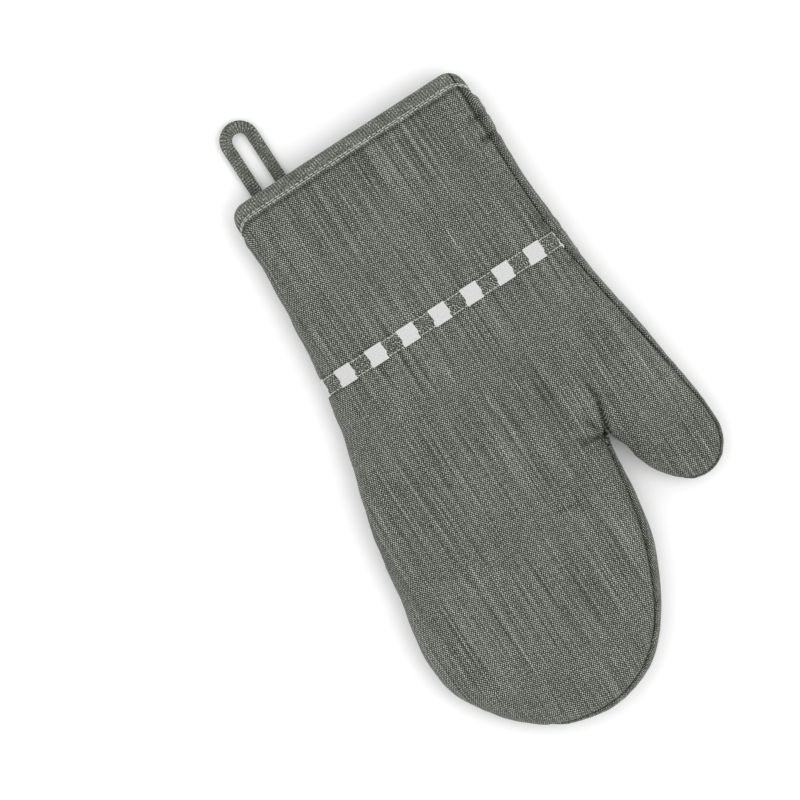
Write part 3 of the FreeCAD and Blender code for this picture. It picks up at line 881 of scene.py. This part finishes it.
def spun_thread(name, dark, light):
    """Spun polyester thread: plies twisted together, so fine bands of light and shade."""
    material, tree = new_material(name)
    place = add(tree, "ShaderNodeTexCoord").outputs["Object"]
    twist = add(tree, "ShaderNodeTexNoise", {"Vector": place, "Scale": 2600.0, "Detail": 2.0})
    colour = add(tree, "ShaderNodeValToRGB", (twist,), ((0.3, dark), (0.7, light)))
    finish_cloth(tree, colour, twist, 0.05, roughness=0.6)
    return material


def plain_cotton(name, stops, pitch):
    """Plain woven cotton, or needled wadding, with a fine even texture."""
    material, tree = new_material(name)
    u, v = weave_place(tree)
    cross = over_and_under(tree, yarns(tree, u, pitch), yarns(tree, v, pitch))
    tone = stacked(tree, 0.5, (cross, 0.3), (grain(tree, u, v, pitch * 0.6, pitch * 0.8, 37.0, 2.0), 1.0))
    finish_cloth(tree, add(tree, "ShaderNodeValToRGB", (tone,), stops), tone, 0.12)
    return material


cover_cloth = chambray("slub_chambray")
tape_cloth = bias_tape("bias_chambray_tape")
ribbon_cloth = check_ribbon_cloth("woven_check_ribbon")
white_thread = spun_thread("white_sewing_thread", "#b9bab4", "#e8e8e3")
pale_thread = spun_thread("pale_green_sewing_thread", "#a9aca2", "#d4d5cc")
dark_thread = spun_thread("grey_green_sewing_thread", "#4a4d46", "#71746c")
wadding_felt = plain_cotton("needled_wadding", ((0.2, "#cfccc2"), (0.8, "#efede6")), 2.4)
lining_cotton = plain_cotton("lining_cotton", ((0.2, "#bdb9ab"), (0.8, "#e2dfd3")), 0.9)

# ---- covers, wadding and lining ----
SWELL_FRAMES = 22
SWELL_HELD = 14.0  # this much of the cuff is held still by its binding
SWELL_MOST = 3.0  # the furthest that any place may move
SWELL_PRESSURE = 1.5
SWELL_MASS = 0.2
SWELL_STRETCH, SWELL_SHEAR, SWELL_BEND = 18.0, 6.0, 0.6  # stiffnesses
SWELL_QUALITY = 6
SWELL_SMOOTHING = 5  # passes over the result


def stuffed(front, back):
    """Blows the sewn mitt up as cloth and gives how far each coarse point moves outward.

    Where 98 in 100 points would move further than SWELL_MOST, all are scaled down to stay within it.
    """
    shared, count = len(coarse_outline), len(front.verts)
    renumber = np.arange(len(back.verts)) + count - shared
    renumber[:shared] = np.arange(shared)
    verts = np.concatenate([front.verts, back.verts[shared:]])
    faces = front.faces() + [tuple(renumber[list(f)].tolist()) for f in back.faces()]
    mesh = bpy.data.meshes.new("stuffed")
    mesh.from_pydata((verts * MM).tolist(), [], faces)
    closed = bmesh.new()
    closed.from_mesh(mesh)
    bmesh.ops.holes_fill(closed, edges=[e for e in closed.edges if e.is_boundary], sides=0)
    bmesh.ops.triangulate(closed, faces=[f for f in closed.faces if len(f.verts) > 4])
    closed.to_mesh(mesh)
    closed.free()
    body = put("stuffed", mesh)
    held = body.vertex_groups.new(name="held")
    held.add(np.flatnonzero(verts[:, 1] < CUFF_END + SWELL_HELD).tolist(), 1.0, "REPLACE")
    cloth = body.modifiers.new("cloth", "CLOTH")
    cloth.point_cache.frame_end = SWELL_FRAMES
    values = cloth.settings
    values.quality = SWELL_QUALITY
    values.mass = SWELL_MASS
    values.tension_stiffness = values.compression_stiffness = SWELL_STRETCH
    values.shear_stiffness = SWELL_SHEAR
    values.bending_stiffness = SWELL_BEND
    values.vertex_group_mass = "held"
    values.use_pressure = True
    values.uniform_pressure_force = SWELL_PRESSURE
    values.effector_weights.gravity = 0.0
    for frame_number in range(1, SWELL_FRAMES + 1):
        bpy.context.scene.frame_set(frame_number)
    settled = body.evaluated_get(bpy.context.evaluated_depsgraph_get()).data
    places = np.zeros(len(verts) * 3)
    settled.vertices.foreach_get("co", places)
    moved = places.reshape(-1, 3) / MM - verts
    bpy.data.objects.remove(body)
    bpy.data.meshes.remove(mesh)
    bpy.context.scene.frame_set(1)
    outward = {}
    for is_front, layer in ((True, front), (False, back)):
        index = np.arange(count) if is_front else renumber
        out = (moved[index] * layer.vertex_normals(layer.verts)).sum(1)
        pairs = np.concatenate([layer.edges, layer.edges[:, ::-1]])
        count_near = np.bincount(pairs[:, 0], minlength=len(out))
        for _ in range(SWELL_SMOOTHING):
            out = (out + np.bincount(pairs[:, 0], out[pairs[:, 1]], len(out)) / count_near) / 2.0
        most = np.percentile(np.abs(out), 98)
        outward[is_front] = np.clip(out * min(1.0, SWELL_MOST / most), -SWELL_MOST, SWELL_MOST)
    return outward


def swelling_of(front, back):
    """The swelling at any point of either side, from the nearest coarse points."""
    outward = stuffed(front, back)
    trees = {}
    for is_front, layer in ((True, front), (False, back)):
        tree = KDTree(len(layer.verts))
        for number, place in enumerate(layer.verts):
            tree.insert(place, number)
        tree.balance()
        trees[is_front] = tree

    def swelling(points, is_front):
        """Blends the four nearest coarse points, nearer ones the more."""
        found = []
        for point in points:
            near = trees[is_front].find_n(point, 4)
            weight = np.array([1.0 / (far + 0.5) for _, _, far in near])
            found.append(weight @ outward[is_front][[number for _, number, _ in near]] / weight.sum())
        return np.array(found)

    return swelling


coarse_outline = Outline(COARSE)
coarse_plan = Plan(coarse_outline, COARSE)
sides = (True, False)
whole = [Layer(coarse_outline, coarse_plan, is_front, 0.0, COARSE_ROWS) for is_front in sides]
Layer.swelling = swelling_of(*whole)

outline = Outline(FINE)
plan = Plan(outline, FINE)
front = Layer(outline, plan, True, 0.0, FINE_ROWS)
back = Layer(outline, plan, False, 0.0, FINE_ROWS)


def bend(piece, body):
    """Bakes a piece's place into its mesh, the same for hand and thumb pieces."""
    if body == "hand":
        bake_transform(piece)
    else:
        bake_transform(piece)


def flat_size(piece):
    """Width, length and area of the cloth a piece was cut from, in metres, from its weave map."""
    mesh = piece.data
    uv = np.zeros(len(mesh.loops) * 2)
    mesh.uv_layers["weave"].data.foreach_get("uv", uv)
    uv = uv.reshape(-1, 2) * MM
    area = 0.0
    for face in mesh.polygons:
        p = uv[face.loop_start:face.loop_start + face.loop_total]
        area += abs(np.sum(p[:, 0] * np.roll(p[:, 1], -1) - p[:, 1] * np.roll(p[:, 0], -1))) / 2.0
    return tuple(np.round(uv.max(0) - uv.min(0), 4)), area / 2.0


def settle(pieces, node, fill=None):
    """Bakes a layer's hand and thumb pieces into place and hides the CAD nodes that they stand for."""
    for body, piece in pieces.items():
        bend(piece, body)
        regions = ("palm", "finger") if body == "hand" else ("thumb",)
        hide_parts(*[f"{region}_{node}" for region in regions])
        if fill is None:
            flat, area = flat_size(piece)


for is_front, side in ((True, "front"), (False, "back")):
    wadding = Layer(coarse_outline, coarse_plan, is_front, WADDING_IN, COARSE_ROWS)
    thinned = WADDING - PINCH * pinched(wadding.verts[:, 1])
    filling = cut_by_body(wadding, f"{side}_wadding", thinned, wadding_felt)
    settle(filling, f"wadding_{side}", fill=0.3)
    cover = cut_by_body(front if is_front else back, f"{side}_cover", COVER, cover_cloth)
    settle(cover, f"cover_{side}")
    lining = Layer(coarse_outline, coarse_plan, is_front, LINING_IN, COARSE_ROWS, lift=PINCH)
    inside_cloth = cut_by_body(lining, f"{side}_lining", LINING, lining_cotton)
    settle(inside_cloth, f"lining_{side}")


# ---- stitches ----
STITCH_INPUTS = ("Pitch", "Length", "Thickness", "Rise")


def stitch_tree():
    """Stitches laid end to end along a line: each an arch of thread whose ends dip into the cloth."""
    tree = bpy.data.node_groups.new("stitch_row", "GeometryNodeTree")
    face = tree.interface
    face.new_socket("Line", in_out="INPUT", socket_type="NodeSocketGeometry")
    for label in STITCH_INPUTS:
        face.new_socket(label, in_out="INPUT", socket_type="NodeSocketFloat")
    face.new_socket("Thread", in_out="INPUT", socket_type="NodeSocketMaterial")
    face.new_socket("Stitches", in_out="OUTPUT", socket_type="NodeSocketGeometry")
    given = add(tree, "NodeGroupInput").outputs
    line = add(tree, "GeometryNodeMeshToCurve", {"Mesh": given["Line"]})
    spots = add(tree, "GeometryNodeResampleCurve", {"Curve": line, "Length": given["Pitch"]}, mode="LENGTH")
    half = add(tree, "ShaderNodeMath", (given["Length"], 0.5), operation="MULTIPLY")
    back_half = add(tree, "ShaderNodeMath", (given["Length"], -0.5), operation="MULTIPLY")
    dip = add(tree, "ShaderNodeMath", (given["Thickness"], -0.7), operation="MULTIPLY")
    radius = add(tree, "ShaderNodeMath", (given["Thickness"], 0.5), operation="MULTIPLY")
    ends = [add(tree, "ShaderNodeCombineXYZ", {"X": x, "Z": dip}) for x in (back_half, half)]
    top = add(tree, "ShaderNodeCombineXYZ", {"Z": given["Rise"]})
    bow = {"Resolution": 5, "Start": ends[0], "Middle": top, "End": ends[1]}
    arch = add(tree, "GeometryNodeCurveQuadraticBezier", bow)
    round_thread = add(tree, "GeometryNodeCurvePrimitiveCircle", {"Resolution": 6, "Radius": radius})
    solid = {"Curve": arch, "Profile Curve": round_thread, "Fill Caps": True}
    stitch = add(tree, "GeometryNodeCurveToMesh", solid)
    up = add(tree, "GeometryNodeInputNamedAttribute", {"Name": "up"}, data_type="FLOAT_VECTOR")
    axes = {"Primary Axis": add(tree, "GeometryNodeInputTangent"), "Secondary Axis": up}
    turn = add(tree, "FunctionNodeAxesToRotation", axes, primary_axis="X", secondary_axis="Z")
    spread = {0: (0.88, 0.95, 0.8), 1: (1.08, 1.05, 1.15), "Seed": 5}
    uneven = add(tree, "FunctionNodeRandomValue", spread, data_type="FLOAT_VECTOR")
    parts = {"Points": spots, "Instance": stitch, "Rotation": turn, "Scale": uneven}
    placed = add(tree, "GeometryNodeInstanceOnPoints", parts)
    real = add(tree, "GeometryNodeRealizeInstances", {"Geometry": placed})
    soft = add(tree, "GeometryNodeSetShadeSmooth", {"Geometry": real})
    done = add(tree, "GeometryNodeSetMaterial", {"Geometry": soft, "Material": given["Thread"]})
    add(tree, "NodeGroupOutput", {"Stitches": done})
    return tree


STITCHES = stitch_tree()


def stitched(name, lines, thread, pitch, length, thickness=THREAD, rise=0.35):
    """A piece of stitches along lines, each (points, normals, closed), in millimetres."""
    points, ups, edges = [], [], []
    for line, normals, closed in lines:
        first = sum(map(len, points))
        last = first + len(line)
        edges += [(k, k + 1) for k in range(first, last - 1)] + ([(last - 1, first)] if closed else [])
        points.append(mouth_corners(np.asarray(line)))
        ups.append(normals)
    mesh = bpy.data.meshes.new(name + "_line")
    mesh.from_pydata((np.concatenate(points) * MM).tolist(), edges, [])
    up = mesh.attributes.new("up", "FLOAT_VECTOR", "POINT")
    up.data.foreach_set("vector", np.concatenate(ups).astype(np.float32).ravel())
    row = put(name + "_line", mesh)
    modifier = row.modifiers.new("stitches", "NODES")
    modifier.node_group = STITCHES
    sockets = {s.name: s.identifier for s in STITCHES.interface.items_tree if s.in_out == "INPUT"}
    for label, size in zip(STITCH_INPUTS, (pitch, length, thickness, rise)):
        modifier[sockets[label]] = size * MM
    modifier[sockets["Thread"]] = thread
    bpy.context.view_layer.update()
    made = bpy.data.meshes.new_from_object(row.evaluated_get(bpy.context.evaluated_depsgraph_get()))
    bpy.data.objects.remove(row)
    return put(name, made)


# ---- binding round the mouth ----
RING_COUNT = 832
# The folded tape's outer face: out from the cover, and along the mitt from the mouth.
FOLD_OUT = (0.3, 0.85, 1.05, 0.92, 1.05, 1.05, 0.95, 0.4, -0.8, -2.2, -3.6, -4.4, -4.75, -4.8, -4.6, -4.3)
FOLD_ALONG = (8.4, 8.2, 7.4, 6.6, 5.0, 2.5, 0.6, -0.8, -1.6, -1.8, -1.4, -0.4, 1.0, 4.0, 6.4, 7.2)
TAPE_FOLD = tuple(zip(FOLD_OUT, FOLD_ALONG))
mouth_ring, mouth_out, mouth_along = ring_round(CUFF_END + BINDING_WIDTH / 2.0, RING_COUNT)


def sewn_on(piece, node):
    """Parents a piece to the hand's body, which it stays on, and hides the one node it stands for."""
    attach(piece, "hand")
    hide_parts(node)


def cuff_binding():
    """The tape folded over the mouth, ribbed across, with a dip over each side seam."""
    ring, out, at = mouth_ring, mouth_out, mouth_along
    fold, across = even(np.array(TAPE_FOLD), 26)
    face = left_of(unit_rows(np.gradient(fold, axis=0)))
    seams = [seam_place(front, side) for side in (0, -1)]
    gap = np.min([np.abs(ring[:, 0] - s[0]) + 3.0 * np.abs(ring[:, 2] - s[2]) for s in seams], axis=0)
    groove = bell(gap, 0.9)
    width = 0.35 * (ripple(at, 41, 5.0) - 0.5)
    rows, weave, painted_shade = [], [], []
    for outside in (True, False):
        for k in range(len(fold)) if outside else reversed(range(len(fold))):
            rib = RIB_DEPTH * np.cos(2.0 * math.pi * (at + 0.16 * across[k]) / RIB_PITCH)
            lift = rib * outside - TAPE_THICK * (not outside) - groove * (fold[k, 0] > 0)
            place = fold[k] + face[k] * lift[:, None]
            row = ring + out * place[:, :1]
            row[:, 1] = CUFF_END + place[:, 1] + width * (fold[k, 1] > 5.0)
            rows.append(row)
            weave.append(np.column_stack([at, np.full(len(at), across[k])]))
            # painted shade in the groove over each side seam and along the tape's inner edge
            painted_shade.append(groove / groove.max() * (fold[k, 0] > 0) + 0.4 * (fold[k, 1] > 8.1))
    verts = mouth_corners(np.concatenate(rows))
    faces = grid_faces(len(rows), RING_COUNT, wrap_rows=True, wrap_columns=True)
    weave, painted_shade = np.concatenate(weave), np.clip(np.concatenate(painted_shade), 0.0, 1.0)
    piece = mesh_object("cuff_binding_tape", verts, faces, weave, None, tape_cloth, painted_shade)
    sewn_on(piece, "cuff_binding")


def seam_place(layer, side):
    """Where a side seam meets the mouth: side 0 on the thumb's edge and -1 on the other."""
    return layer.verts[:len(outline)][side]


def binding_topstitch():
    """Two rows of stitches near the binding's edge, on both sides of the mitt."""
    rows = []
    for from_cover, y in (TAPE_FOLD[3], TAPE_FOLD[3] - np.array((0.0, 1.1))):
        row = mouth_ring + mouth_out * (from_cover + 0.12)
        row[:, 1] = CUFF_END + y
        rows.append((row, mouth_out, True))
    piece = stitched("binding_topstitch_row", rows, pale_thread, 3.1, 2.5, thickness=0.42, rise=0.4)
    sewn_on(piece, "binding_topstitch")


# ---- check ribbon ----
RIBBON_COLUMNS = 160
RIBBON_LIFT = 0.5
RIBBON_THICK = 0.4


def ribbon_line(y):
    """A line over the front at y from seam to seam, with its normals and distances along."""
    line, at = even(crossing(front, y), RIBBON_COLUMNS)
    return line, square_to(np.gradient(line, axis=0)), at


def check_ribbon():
    """The check ribbon laid over the front from seam to seam."""
    verts, normals, weave = [], [], []
    for y in np.linspace(RIBBON_LOW_Y, RIBBON_HIGH_Y, 9):
        line, out, at = ribbon_line(y)
        verts.append(line + out * RIBBON_LIFT)
        normals.append(out)
        near = np.argmin(np.abs(line[:, 0] - WHITE_SQUARE_X - SQUARE))
        weave.append(np.column_stack([WHITE_SQUARE_X + SQUARE - (at - at[near]), np.full(len(at), y)]))
    faces = [f[::-1] for f in grid_faces(len(verts), RIBBON_COLUMNS)]
    painted_shade = np.zeros(len(verts) * RIBBON_COLUMNS)
    verts, normals, weave = [np.concatenate(rows) for rows in (verts, normals, weave)]
    ribbon = (verts, normals, faces, weave, RIBBON_THICK, ribbon_cloth, painted_shade)
    piece = thick_cloth("check_ribbon_strip", *ribbon)
    sewn_on(piece, "check_ribbon")
    flat, _ = flat_size(piece)


def ribbon_rows():
    """A row of stitches along each edge of the ribbon."""
    lines = []
    for y in (RIBBON_LOW_Y + STITCH_IN, RIBBON_HIGH_Y - STITCH_IN):
        line, out, _ = ribbon_line(y)
        lines.append((line + out * (RIBBON_LIFT + 0.1), out, False))
    piece = stitched("ribbon_stitch_rows", lines, white_thread, 2.5, 2.0, thickness=0.3, rise=0.3)
    sewn_on(piece, "ribbon_stitches")


def ribbon_tack():
    """A short bar of long stitches that holds the ribbon's end beside the seam."""
    low, high = node_box("ribbon_end_tack")
    ends, ups = [], []
    for share in (0.16, 0.9):
        row, out, _ = ribbon_line(low[1] + (high[1] - low[1]) * share)
        facing = out[:, 2] > 0.1
        row, out = row[facing], out[facing]
        order = np.argsort(row[:, 0])
        x = (low[0] + high[0]) / 2.0 + 0.9 * (share - 0.5)
        ends.append([np.interp(x, row[order, 0], row[order, k]) for k in range(3)])
        ups.append([np.interp(x, row[order, 0], out[order, k]) for k in range(3)])
    up = np.mean(ups, axis=0) / np.linalg.norm(np.mean(ups, axis=0))
    line = np.linspace(ends[0], ends[1], 9) + up * (RIBBON_LIFT + 0.5)
    bar = [(line, np.tile(up, (9, 1)), False)]
    piece = stitched("ribbon_end_bar", bar, white_thread, 2.6, 3.2, thickness=0.7, rise=0.3)
    sewn_on(piece, "ribbon_end_tack")


# ---- hanging loop ----
TAPE_WIDTH = 7.0
LOOP_TAPE_THICK = 1.6
LOOP_COLUMNS = 240


def loop_path():
    """The tape's middle line: up one arm, round the end and down the other."""
    middle = (LOOP_LOW[0] + LOOP_HIGH[0]) / 2.0
    radius = (LOOP_HIGH[0] - LOOP_LOW[0] - TAPE_WIDTH) / 2.0
    bend_y = LOOP_LOW[1] + radius + TAPE_WIDTH / 2.0
    root = LOOP_HIGH[1] + 1.2
    turn = np.linspace(0.0, math.pi, 40)[:, None]
    round_end = np.hstack([middle + radius * np.cos(turn), bend_y - radius * np.sin(turn)])
    first, last = (middle + radius, root), (middle - radius, root)
    return even(np.concatenate([[first], round_end, [last]]), LOOP_COLUMNS)


def hanging_loop():
    """The folded tape of the loop, gathered where it bends."""
    path, at = loop_path()
    side = left_of(unit_rows(np.gradient(path, axis=0)))
    share = smooth((LOOP_HIGH[1] - path[:, 1]) / (LOOP_HIGH[1] - LOOP_LOW[1]))
    height = (LOOP_LOW[2] + LOOP_HIGH[2]) / 2.0 + 0.9 * share
    bent = bell(path[:, 1] - LOOP_LOW[1], 12.0)
    rows, weave = [], []
    half, thick = TAPE_WIDTH / 2.0, LOOP_TAPE_THICK / 2.0
    rim = [(-half + 0.1, thick * 0.5), (-half + 0.5, thick)]
    rim += [(w, thick) for w in np.linspace(-half + 1.2, half - 1.2, 7)]
    rim += [(half - 0.5, thick), (half - 0.1, thick * 0.5)]
    rim = rim + [(w, -h) for w, h in reversed(rim)]
    _, across = even(np.array(rim), len(rim))
    for k, (w, h) in enumerate(rim):
        inner = smooth(-w / half)  # the side that faces the loop's eye
        pucker = 0.5 * bent * inner * np.sin(at * 2.0 * math.pi / 4.2) + 0.7 * bent * (w / half) ** 2
        rib = 0.08 * np.cos(2.0 * math.pi * (at + 0.16 * w) / RIB_PITCH) * (1.0 if h > 0 else -1.0)
        rows.append(np.column_stack([path + side * w, height + h + pucker + rib]))
        weave.append(np.column_stack([at, np.full(len(at), across[k])]))
    verts, weave = np.concatenate(rows), np.concatenate(weave)
    faces = grid_faces(len(rows), LOOP_COLUMNS, wrap_rows=True)
    ends = [[r * LOOP_COLUMNS + c for r in range(len(rows))] for c in (0, LOOP_COLUMNS - 1)]
    faces += [tuple(ends[0]), tuple(reversed(ends[1]))]
    piece = mesh_object("hanging_loop_tape", verts, faces, weave, None, tape_cloth)
    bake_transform(piece)
    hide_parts("hanging_loop")


def loop_tack():
    """Bars of thread through the binding that hold the loop's two ends."""
    low, high = node_box("loop_tack")
    ring, out = mouth_ring, mouth_out
    under = ring[:, 2] < SEAM_HEIGHT
    bars = []
    for left in (low[0], high[0] - (TAPE_WIDTH - 2.0)):
        for y in np.linspace(low[1], high[1], 5):
            x = np.linspace(left, left + TAPE_WIDTH - 2.0, 8)
            near = [np.argmin(np.abs(ring[:, 0] - one) + 1000.0 * ~under) for one in x]
            bar = ring[near] + out[near] * (TAPE_FOLD[5][0] + 0.25)
            bar[:, 1] = y
            bars.append((bar, out[near], False))
    piece = stitched("loop_tack_bars", bars, pale_thread, 2.4, 2.5)
    sewn_on(piece, "loop_tack")


# ---- side seam ----
def side_seam():
    """Stitches that close the side seam, sunk in its groove."""
    n = len(outline)
    seam = front.verts[:n] - front.seam_normal * 0.35
    mouth = seam[:, 1] < CUFF_END + BINDING_WIDTH + 1.0
    a, b = outline.thumb_start, outline.crotch
    keep = np.arange(n)
    hand_nodes = ("palm_side_seam_thread", "finger_side_seam_thread")
    for name, parts, body, nodes in (
        ("side_seam_stitches", (keep[:a + 1], keep[b:]), "hand", hand_nodes),
        ("thumb_seam_stitches", (keep[a:b + 1],), "thumb", ("thumb_side_seam_thread",)),
    ):
        lines = [(seam[part[~mouth[part]]], front.seam_normal[part[~mouth[part]]], False) for part in parts]
        piece = stitched(name, lines, dark_thread, 2.8, 2.1, rise=0.2)
        bend(piece, body)
        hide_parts(*nodes)


cuff_binding()
binding_topstitch()
check_ribbon()
ribbon_rows()
ribbon_tack()
hanging_loop()
loop_tack()
side_seam()

# ---- floor, light and camera ----
VIEW_CENTRE = (36.3, -12.2)
VIEW_WIDTH = 428.0
VIEW_TURN = 180.0 - 32.9  # degrees
CAMERA_HEIGHT = 3.0
SENSOR = 36.0
FLOOR_HALF = 3.0


def floor():
    """A pale floor for the mitt to lie on."""
    mesh = bpy.data.meshes.new("floor")
    corners = [(x * FLOOR_HALF, y * FLOOR_HALF, 0.0) for x, y in ((-1, -1), (1, -1), (1, 1), (-1, 1))]
    mesh.from_pydata(corners, [], [(0, 1, 2, 3)])
    piece = put("floor", mesh)
    material, tree = new_material("white_paper_floor")
    shader = add(tree, "ShaderNodeBsdfPrincipled", {"Base Color": linear("#f4f4f4"), "Roughness": 0.9})
    add(tree, "ShaderNodeOutputMaterial", {"Surface": shader.outputs["BSDF"]})
    mesh.materials.append(material)


def lamp(name, place, size, power):
    """A round area light that faces the origin."""
    data = bpy.data.lights.new(name, "AREA")
    data.shape = "DISK"
    data.size = size
    data.energy = power
    light = put(name, data)
    light.location = place
    light.rotation_euler = (-Vector(place)).to_track_quat("-Z", "Y").to_euler()


def camera():
    """A camera straight above the mitt."""
    data = bpy.data.cameras.new("camera")
    data.sensor_width = SENSOR
    data.lens = SENSOR * CAMERA_HEIGHT / (VIEW_WIDTH * MM)
    data.clip_end = 20.0
    eye = put("camera", data)
    eye.location = (VIEW_CENTRE[0] * MM, VIEW_CENTRE[1] * MM, CAMERA_HEIGHT)
    eye.rotation_euler = (0.0, 0.0, math.radians(VIEW_TURN))
    bpy.context.scene.camera = eye


floor()
lamp("key_softbox", (-0.9, 0.7, 1.6), 1.4, 9.0)
lamp("fill_softbox", (1.2, -0.9, 1.5), 1.8, 5.0)
world = bpy.data.worlds.new("studio")
world.use_nodes = True
world.node_tree.nodes["Background"].inputs["Color"].default_value = (1.0, 1.0, 1.0, 1.0)
world.node_tree.nodes["Background"].inputs["Strength"].default_value = 1.1
bpy.context.scene.world = world
bpy.context.scene.view_settings.view_transform = "Standard"
camera()
